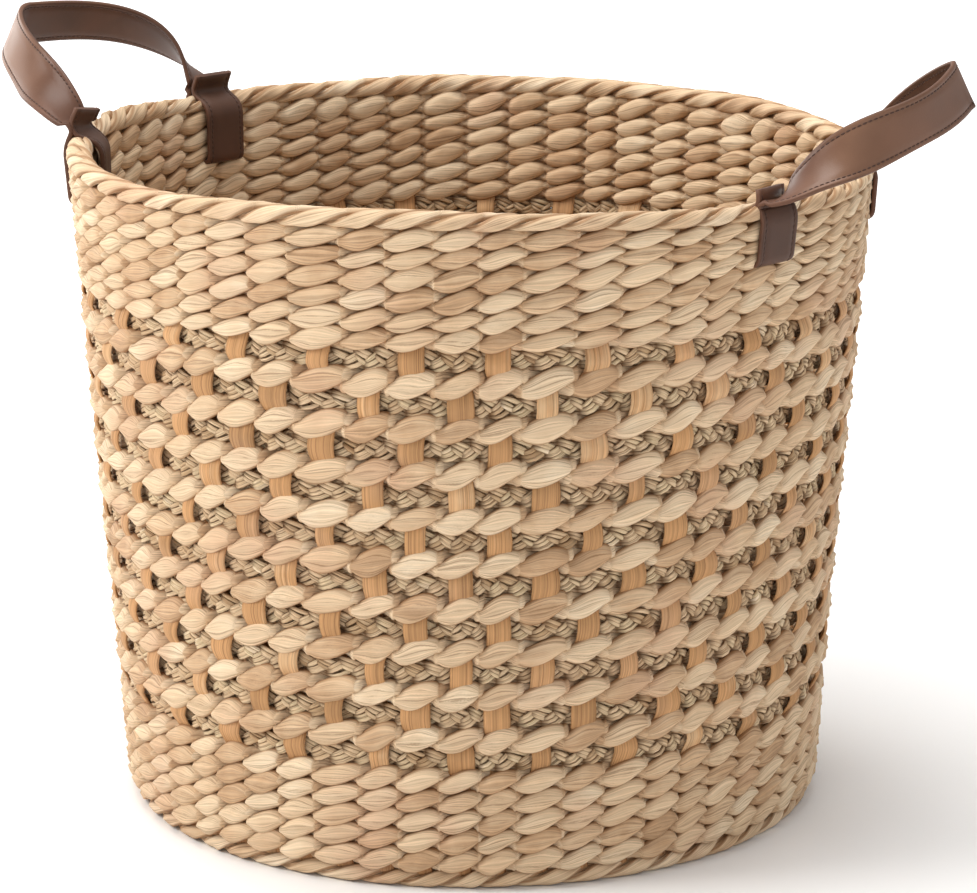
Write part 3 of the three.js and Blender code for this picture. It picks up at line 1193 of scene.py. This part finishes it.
class StrapShape:
    """The shape of one handle: front end, back end and top of its arch. Lengths in mm."""

    def __init__(self, side, radius, spread, reach, rise, shift, turn, roll, twist, front, back):
        self.side = side  # 1 for the right handle, -1 for the left one
        self.radius = radius  # of the pinches about the basket's axis
        self.spread = spread  # between the two pinches, in degrees
        self.reach = reach  # outwards from the pinches to the top of the arch
        self.rise = rise
        self.shift = shift  # of the top of the arch to the back
        self.turn = turn  # of the top of the arch about the vertical
        self.roll = roll  # its slope
        self.twist = twist
        self.ends = {-1: front, 1: back}


STRAP_SHAPES = {
    "right": StrapShape(
        side=1,
        radius=205.9,
        spread=43.4,
        reach=68.4,
        rise=51.8,
        shift=5.3,
        turn=0.0,
        roll=0.32,
        twist=1.19,
        front=StrapEnd(
            -6.9, 1.05, -0.01, 17.0, 54.5, (-9.4, -2.6, 14.0), (-0.15, 0.29, 0.33, 1.2, 1.75), 0, 8, 13, 3
        ),
        back=StrapEnd(
            -10.5, 0.82, 0.09, 18.3, 4.9, (-6.3, -2.1, 5.2), (0.06, 0.25, 0.48, 0.75, 0.92), 3, 25
        ),
    ),
    "left": StrapShape(
        side=-1,
        radius=206.2,
        spread=42.2,
        reach=70.4,
        rise=41.7,
        shift=0.1,
        turn=-0.17,
        roll=-0.05,
        twist=1.14,
        front=StrapEnd(
            4.5, 0.54, -0.1, 17.5, 29.0, (-2.2, 0.1, -2.0), (0.02, 0.0, 0.36, 1.2, 1.17), 0, 25, -24
        ),
        back=StrapEnd(
            2.0, 0.77, 0.07, 27.4, 54.2, (-8.8, 6.4, 9.8), (0.02, 0.31, 0.55, 0.83, 1.01), 0, 24
        ),
    ),
}
TWIST_PLACES = (0.0, 0.12, 0.28, 0.5, 0.75, 1.0)  # of the twists along half an arch
ARCH_STEPS = 72
# Of the bend, before and after the fold
BLEND_REACH = {"right": (9 * MM, 7 * MM), "left": (4.5 * MM, 8 * MM)}
# Painted light on the arch: millimetres past the rim where it turns pale, and how pale, by side
PAINTED_ARCH_LIGHT = {1: ((6, 22, 54), (0.0, 1.0, 0.2)), -1: ((10, 44, 60), (0.0, 1.0, 1.0))}


def pinch_spots(frames, pinch, sizes):
    """Stitch places across a strap, just after its pinch, on the outer face."""
    nearest = min(range(len(frames)), key=lambda i: (frames[i][0] - pinch).length)
    place, _, level, outward = frames[nearest]
    reach = sizes.width / 2 - sizes.seam_inset - 1.5 * MM
    count = round(2 * reach / sizes.stitch_pitch)
    spots = []
    for index in range(count + 1):
        offset = reach * (2 * index / count - 1)
        for face in (-1, 1):
            spot = place + level * offset + outward * face * sizes.thickness * 0.5
            spots.append((tuple(spot), level, outward * face))
    return spots


class StrapRoute:
    """The route of one strap, from the cut end of one tail to that of the other."""

    def __init__(self, shape, sizes):
        self.shape = shape
        self.sizes = sizes
        self.half = math.radians(shape.spread) / 2
        self.leg_in = wall_middle(0.30) - 6.5 * MM - 2.2 * MM
        self.slot_out = wall_middle(STRAP_SLOT) + 6.5 * MM + 1.6 * MM

    def outward(self, end):
        return np.array([self.shape.side * math.cos(self.half), end * math.sin(self.half), 0])

    def across(self, end):
        """Level and square to the wall, towards the middle of the handle."""
        return np.cross((0, 0, 1), self.outward(end)) * (-end * self.shape.side)

    def pinch(self, end):
        place = self.outward(end) * (self.shape.radius - self.shape.ends[end].inset) * MM
        place[2] = RIM_TOP + self.shape.ends[end].rise * MM
        return place

    def wall_place(self, end, radius, level):
        """A place beside the wall, which moves with the wall as it settles."""
        place = self.outward(end) * radius
        place[2] = level
        return settled(place[None])[0]

    def corners(self, end):
        """Corners of the loop with their rounding, from the tail's tip to the pinch."""
        outward, pinch = self.outward(end), self.pinch(end)
        tail = pinch - outward * self.sizes.thickness * 0.85
        lean = math.radians(self.shape.ends[end].tail_lean)
        length = self.sizes.tail - self.shape.ends[end].tail_cut * MM
        tip = tail + (np.array([0, 0, math.cos(lean)]) - outward * math.sin(lean)) * length
        shoulder = self.wall_place(end, RIM_RADIUS + 0.9 * MM, RIM_TOP - 7 * MM)
        return [
            (tip, 0),
            (tail, 5 * MM),
            (self.wall_place(end, self.leg_in + 1.0 * MM, RIM_TOP - 6 * MM), 6 * MM),
            (self.wall_place(end, self.leg_in, STRAP_SLOT), 4 * MM),
            (self.wall_place(end, self.slot_out, STRAP_SLOT), 4.5 * MM),
            (shoulder, 5 * MM),
            (pinch, 2.2 * MM),
        ]

    def leaving(self, end):
        fit, outward = self.shape.ends[end], self.outward(end)
        way = outward * math.sin(fit.lean) * math.cos(fit.yaw) + self.across(end) * math.sin(fit.yaw)
        way[2] += math.cos(fit.lean) * math.cos(fit.yaw)
        return way

    def top(self):
        """Place and direction of the middle of the arch."""
        shape = self.shape
        level = RIM_TOP / MM + (shape.ends[1].rise + shape.ends[-1].rise) / 2 + shape.rise
        reach = shape.side * (shape.radius * math.cos(self.half) + shape.reach)
        place = np.array([reach, shape.shift, level])
        way = np.array([shape.side * math.sin(shape.turn), math.cos(shape.turn), shape.roll])
        return place * MM, way

    def arch(self, end):
        """Places and across directions from the pinch to the top of the arch."""
        shape, fit = self.shape, self.shape.ends[end]
        pinch, (top, way) = self.pinch(end), self.top()
        first, last = pinch + self.leaving(end) * fit.start * MM, top + way * end * fit.finish * MM
        bow = np.array([shape.side * fit.bow[0], end * fit.bow[1], fit.bow[2]]) * MM
        holds = (pinch, first, (first + last) / 2 + bow, last, top)
        share = np.linspace(0, 1, ARCH_STEPS + 1)
        places = sum(
            math.comb(4, i) * (1 - share[:, None]) ** (4 - i) * share[:, None] ** i * hold
            for i, hold in enumerate(holds)
        )
        along = np.gradient(places, axis=0)
        along /= np.linalg.norm(along, axis=1)[:, None]
        upright = np.array([0, 0, 1.0]) - along * along[:, 2:]
        upright /= np.linalg.norm(upright, axis=1)[:, None]
        level = np.cross(along, upright) * (end * shape.side)
        window = np.arange(-0.2, 0.2001, 0.01)
        weights = np.exp(-((window / 0.115) ** 2))
        near = np.clip(share[:, None] + window, 0, 1)
        twist = np.interp(near, TWIST_PLACES, (*fit.twists, shape.twist)) @ weights / weights.sum()
        return places, upright * np.sin(twist)[:, None] + level * np.cos(twist)[:, None]

    def half_stations(self, end):
        """Places and across directions from the tail's tip to the top of the arch."""
        arch_places, arch_across = self.arch(end)
        begin = 3
        corners = [(Vector(place), reach) for place, reach in self.corners(end)]
        places = rounded(corners + [(Vector(arch_places[begin]), 0)], 1.0 * MM)
        turn = Matrix.Rotation(math.radians(self.shape.ends[end].tail_turn), 3, "Z")
        across = [Vector(self.across(end))] * len(places)
        for index, place in enumerate(places):
            if (place - places[0]).length > self.sizes.tail + 6 * MM:
                break
            share = max(0, 1 - (place - places[0]).length / (self.sizes.tail + 6 * MM))
            across[index] = across[index].lerp(turn @ across[index], min(1, 1.6 * share))
        places += [Vector(place) for place in arch_places[begin + 1 :]]
        across += [Vector(way) for way in arch_across[begin + 1 :]]
        return places, across

    def stations(self):
        places, across = self.half_stations(1)
        other_places, other_across = self.half_stations(-1)
        places += other_places[::-1][1:]
        across += other_across[::-1][1:]
        return places, across


def rounded(corners, step):
    """Points along straight runs between corners, each corner rounded by its own reach."""
    points = [corners[0][0]]
    for before, (corner, reach), after in zip(corners, corners[1:], corners[2:]):
        start = corner + (before[0] - corner).normalized() * reach
        end = corner + (after[0] - corner).normalized() * reach
        run = start - points[-1]
        count = max(1, round(run.length / (3 * step)))
        origin = points[-1].copy()
        points += [origin + run * (i / count) for i in range(1, count + 1)]
        count = max(4, round(2 * reach / step))
        for i in range(1, count + 1):
            share = i / count
            points.append(start * (1 - share) ** 2 + corner * 2 * share * (1 - share) + end * share**2)
    run = corners[-1][0] - points[-1]
    count = max(1, round(run.length / (3 * step)))
    origin = points[-1].copy()
    points += [origin + run * (i / count) for i in range(1, count + 1)]
    return points


def strap_frames(places, across, side):
    """At each place of a strap, the directions along it, across it and out of its outer face."""
    frames = []
    for index, place in enumerate(places):
        ahead = places[min(index + 1, len(places) - 1)]
        behind = places[max(index - 1, 0)]
        along = (ahead - behind).normalized()
        level = (across[index] - along * across[index].dot(along)).normalized()
        frames.append((place, along, level, along.cross(level) * side))
    return frames


def strap_outline(sizes):
    """Half-round edges and a shallow seam groove on both faces, as across, through and edge."""
    half, thick, inset = sizes.width / 2, sizes.thickness / 2, sizes.seam_inset
    groove = half - inset
    face = [
        (half - 0.5 * MM, thick * 0.92, 0.6),
        (groove + 0.9 * MM, thick, 0.1),
        (groove, thick * 0.7, 0.0),
        (groove - 0.9 * MM, thick, 0.0),
        (groove - 4 * MM, thick * 1.03, 0.0),
        (0.0, thick * 1.05, 0.0),
    ]
    top = face + [(-x, y, e) for x, y, e in face[-2::-1]]
    round_off = -half + 0.25 * MM
    side = [(round_off, thick * 0.62, 1.0), (-half, 0.0, 1.0), (round_off, -thick * 0.62, 1.0)]
    bottom = [(-x, -y, e) for x, y, e in top]
    other = [(-x, -y, e) for x, y, e in side]
    return top + side + bottom + other


def strap_mesh(name, frames, sizes):
    """Sweep the outline along the strap and close its two cut ends."""
    outline = strap_outline(sizes)
    count = len(outline)
    vertices, edges = [], []
    for place, _, level, through in frames:
        for x, y, edge in outline:
            vertices.append(place + level * x + through * y)
            edges.append(edge)
    faces, slots = [], []
    for ring in range(len(frames) - 1):
        for i in range(count):
            j = (i + 1) % count
            a, b = ring * count + i, ring * count + j
            faces.append((a, b, b + count, a + count))
            middle = (outline[i][1] + outline[j][1]) / 2
            # Slot 0 is the plain leather, slot 1 the darker copy that paints shade on the other face, slot 2
            # the edges.
            slots.append(2 if min(outline[i][2], outline[j][2]) > 0.5 else (0 if middle < 0 else 1))
    for first, turn in ((0, -1), ((len(frames) - 1) * count, 1)):
        faces.append(tuple(first + i for i in range(count))[::turn])
        slots.append(2)
    mesh = bpy.data.meshes.new(name)
    mesh.from_pydata([tuple(v) for v in vertices], [], faces)
    mesh.polygons.foreach_set("material_index", slots)
    mesh.polygons.foreach_set("use_smooth", [True] * (len(faces) - 2) + [False] * 2)
    mesh.attributes.new("edge", "FLOAT", "POINT").data.foreach_set("value", edges)
    # Painted light: how much paler the arch is painted, by its distance past the rim and by side.
    beyond = [(math.hypot(vertex[0], vertex[1]) - RIM_RADIUS) / MM for vertex in vertices]
    arch = np.interp(beyond, *PAINTED_ARCH_LIGHT[1 if vertices[0][0] > 0 else -1])
    mesh.attributes.new("arch", "FLOAT", "POINT").data.foreach_set("value", arch)
    for make in (leather_outside, leather_painted_shade, leather_edge):
        mesh.materials.append(finish_for(make))
    face_outwards(mesh)
    piece = bpy.data.objects.new(name, mesh)
    bpy.context.scene.collection.objects.link(piece)
    return piece


def stitch_recipe():
    """One plump stitch on each place of a seam, turned along it."""
    recipe = Recipe(
        "Stitches",
        [("Geometry", "Geometry", None), ("Length", "Float", 0.003), ("Width", "Float", 0.0009)]
        + [("Material", "Material", None)],
    )
    ball = recipe.node("GeometryNodeMeshUVSphere")
    recipe.wire(ball, Segments=8, Rings=5, Radius=0.5)
    plump = recipe.node("GeometryNodeTransform")
    size = recipe.xyz(recipe.value("Width"), recipe.value("Width") * 0.8, recipe.value("Length"))
    recipe.wire(plump, Geometry=recipe.out(ball), Scale=size)

    def direction(name):
        node = recipe.node("GeometryNodeInputNamedAttribute", data_type="FLOAT_VECTOR")
        recipe.wire(node, Name=name)
        return recipe.out(node)

    turn = recipe.node("FunctionNodeAxesToRotation", primary_axis="Z", secondary_axis="Y")
    feed(recipe.tree, turn.inputs[0], direction("seam"))
    feed(recipe.tree, turn.inputs[1], direction("outward"))
    spread = recipe.node("GeometryNodeInstanceOnPoints")
    recipe.wire(
        spread, Points=recipe.value("Geometry"), Instance=recipe.out(plump), Rotation=recipe.out(turn)
    )
    smooth = recipe.wire(recipe.node("GeometryNodeSetShadeSmooth"), Geometry=recipe.out(spread))
    recipe.end(recipe.out(smooth))
    return recipe


def grow_stitches(name, recipe, spots, length, width):
    """Spots are places with their seam and outward directions."""
    mesh = bpy.data.meshes.new(name + "_spots")
    mesh.from_pydata([spot[0] for spot in spots], [], [])
    for key, index in (("seam", 1), ("outward", 2)):
        values = [component for spot in spots for component in spot[index]]
        mesh.attributes.new(key, "FLOAT_VECTOR", "POINT").data.foreach_set("vector", values)
    holder = bpy.data.objects.new(name, mesh)
    bpy.context.scene.collection.objects.link(holder)
    modifier = holder.modifiers.new("Sew", "NODES")
    modifier.node_group = recipe.tree
    given = {"Length": length, "Width": width, "Material": finish_for(stitching)}
    for item in recipe.tree.interface.items_tree:
        if item.in_out == "INPUT" and item.name in given:
            modifier[item.identifier] = given[item.name]
    evaluated = holder.evaluated_get(bpy.context.evaluated_depsgraph_get())
    plain = bpy.data.meshes.new_from_object(evaluated)
    if not len(plain.polygons):
        raise RuntimeError(f"{name} came out empty")
    holder.modifiers.remove(modifier)
    holder.data = plain
    plain.name = name
    return holder


def seam_spots(frames, offset, face, pitch, thickness):
    """Stitch places along one edge of one face of a strap."""
    spots = []
    line = [place + level * offset + through * face * thickness for place, _, level, through in frames]
    travelled, due = 0.0, 3.5 * MM
    total = sum((b - a).length for a, b in zip(line, line[1:]))
    for index in range(len(line) - 1):
        step = (line[index + 1] - line[index]).length
        while due <= travelled + step and due < total - 3 * MM:
            share = (due - travelled) / step
            place = line[index].lerp(line[index + 1], share)
            along = (line[index + 1] - line[index]).normalized()
            spots.append((tuple(place), along, frames[index][3] * face))
            due += pitch
        travelled += step
    return spots


def fold_line(name):
    """The middle of the line that a handle folds about."""
    joint_name = f"{name}_handle_swing"
    return next(Vector(joint["pos_m"]) for joint in frame["joints"] if joint["name"] == joint_name)


class BASKET_OT_straps(bpy.types.Operator):
    """Cut, bend and sew the two leather straps"""

    bl_idname = "basket.straps"
    bl_label = "Leather Straps"

    def execute(self, context):
        sizes = context.scene.strap_sizes
        recipe = stitch_recipe()
        for name, shape in STRAP_SHAPES.items():
            route = StrapRoute(shape, sizes)
            frames = strap_frames(*route.stations(), shape.side)
            strap = strap_mesh(f"{name}_handle_strap", frames, sizes)
            offset = sizes.width / 2 - sizes.seam_inset
            spots = []
            for edge in (-offset, offset):
                for face in (-1, 1):
                    spots += seam_spots(frames, edge, face, sizes.stitch_pitch, sizes.thickness * 0.41)
            for end in (-1, 1):
                spots += pinch_spots(frames, Vector(route.pinch(end)), sizes)
            stitches = grow_stitches(f"{name}_handle_stitches", recipe, spots, 2.3 * MM, 0.9 * MM)
            fold = fold_line(name)
            way = Vector((0.6 * shape.side, 0, 0.8))
            before, after = BLEND_REACH[name]
            for piece in (strap, stitches):
                start, end = tuple(fold - way * before), tuple(fold + way * after)
                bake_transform(piece)
            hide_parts(f"{name}_handle_arch", f"{name}_handle_back_loop", f"{name}_handle_front_loop")
        return {"FINISHED"}


# Stage


class BASKET_OT_stage(bpy.types.Operator):
    """Set the floor, the lights and the camera"""

    bl_idname = "basket.stage"
    bl_label = "Stage"

    def execute(self, context):
        self.camera(context)
        self.floor(context)
        self.light(context, "key", (-1.6, -1.15, 1.5), 1.0, 31, (1.0, 0.985, 0.955))
        self.light(context, "fill", (1.2, -1.9, 0.8), 1.6, 2, (1.0, 0.98, 0.95))
        self.light(context, "top", (-0.2, 0.0, 2.3), 1.5, 35, (1.0, 0.99, 0.97))
        self.light(context, "back", (-1.8, 1.0, 0.75), 1.5, 15, (1.0, 0.98, 0.95))
        world = bpy.data.worlds.new("Studio")
        world.use_nodes = True
        world.node_tree.nodes["Background"].inputs[0].default_value = (1, 1, 1, 1)
        seen = world.node_tree.nodes.new("ShaderNodeLightPath").outputs["Is Camera Ray"]
        strength = world.node_tree.nodes.new("ShaderNodeMapRange")
        for socket, value in zip(strength.inputs[3:5], (0.62, 1.05)):
            socket.default_value = value
        world.node_tree.links.new(seen, strength.inputs[0])
        world.node_tree.links.new(strength.outputs[0], world.node_tree.nodes["Background"].inputs[1])
        context.scene.world = world
        context.scene.view_settings.view_transform = "Standard"
        return {"FINISHED"}

    def camera(self, context):
        azimuth, elevation, pitch = math.radians(23.3), math.radians(14.35), math.radians(-0.21)
        distance, middle = 2.1, 0.1728
        lens = bpy.data.cameras.new("camera")
        lens.sensor_fit = "HORIZONTAL"
        lens.sensor_width = 36
        lens.lens = 36 * 3981 / 977
        lens.shift_x = 16 / 977
        lens.clip_end = 50
        camera = bpy.data.objects.new("camera", lens)
        camera.location = (
            distance * math.sin(azimuth) * math.cos(elevation),
            -distance * math.cos(azimuth) * math.cos(elevation),
            distance * math.sin(elevation) + middle,
        )
        camera.rotation_euler = (math.pi / 2 - (elevation + pitch), 0, azimuth)
        context.scene.collection.objects.link(camera)
        context.scene.camera = camera

    def floor(self, context):
        finish = Finish("Pale Floor", 0.6)
        where = finish.node("ShaderNodeTexCoord").outputs["Object"]
        noise = finish.node("ShaderNodeTexNoise", Vector=where, Scale=3.0)
        white = finish.mix(noise.outputs[0], (0.93, 0.93, 0.93, 1), (0.95, 0.95, 0.95, 1))
        finish.join(white, finish.shader.inputs["Base Color"])
        far = finish.node("ShaderNodeVectorMath", {"operation": "LENGTH"})
        finish.join(where, far.inputs[0])
        finish.shader.inputs["Emission Color"].default_value = (1, 1, 1, 1)
        glow = finish.span(far.outputs["Value"], 0.45, 2.5, 0.0, 0.7)
        finish.join(glow, finish.shader.inputs["Emission Strength"])
        size = 12.0
        mesh = bpy.data.meshes.new("floor")
        corners = [(-size, -size, 0), (size, -size, 0), (size, size, 0), (-size, size, 0)]
        mesh.from_pydata(corners, [], [(0, 1, 2, 3)])
        mesh.materials.append(finish.material)
        floor = bpy.data.objects.new("floor", mesh)
        context.scene.collection.objects.link(floor)

    def light(self, context, name, place, size, power, colour):
        lamp = bpy.data.lights.new(name, "AREA")
        lamp.shape = "DISK"
        lamp.size = size
        lamp.energy = power
        lamp.color = colour
        light = bpy.data.objects.new(name, lamp)
        aim = Vector((0, 0, 0.17)) - Vector(place)
        light.matrix_world = Matrix.Translation(place) @ aim.to_track_quat("-Z", "Y").to_matrix().to_4x4()
        context.scene.collection.objects.link(light)


class BASKET_PT_panel(bpy.types.Panel):
    """The steps that make the basket, and its sizes"""

    bl_label = "Woven Basket"
    bl_idname = "BASKET_PT_panel"
    bl_space_type = "VIEW_3D"
    bl_region_type = "UI"
    bl_category = "Basket"

    def draw(self, context):
        for group in (context.scene.basket_sizes, context.scene.strap_sizes, context.scene.basket_colours):
            box = self.layout.box()
            for key in group.__annotations__:
                box.prop(group, key)
        for step in STEPS:
            self.layout.operator(step.bl_idname)


STEPS = (
    BASKET_OT_stage,
    BASKET_OT_twined_rows,
    BASKET_OT_ropes,
    BASKET_OT_braids,
    BASKET_OT_stakes,
    BASKET_OT_base,
    BASKET_OT_straps,
)
CLASSES = (BasketSizes, StrapSizes, BasketColours, *STEPS, BASKET_PT_panel)


def register():
    for item in CLASSES:
        bpy.utils.register_class(item)
    bpy.types.Scene.basket_sizes = bpy.props.PointerProperty(type=BasketSizes)
    bpy.types.Scene.strap_sizes = bpy.props.PointerProperty(type=StrapSizes)
    bpy.types.Scene.basket_colours = bpy.props.PointerProperty(type=BasketColours)


def unregister():
    del bpy.types.Scene.basket_colours
    del bpy.types.Scene.strap_sizes
    del bpy.types.Scene.basket_sizes
    for item in reversed(CLASSES):
        bpy.utils.unregister_class(item)


def main():
    register()
    for step in STEPS:
        group, name = step.bl_idname.split(".")
        getattr(getattr(bpy.ops, group), name)()


if __name__ == "__main__":
    main()
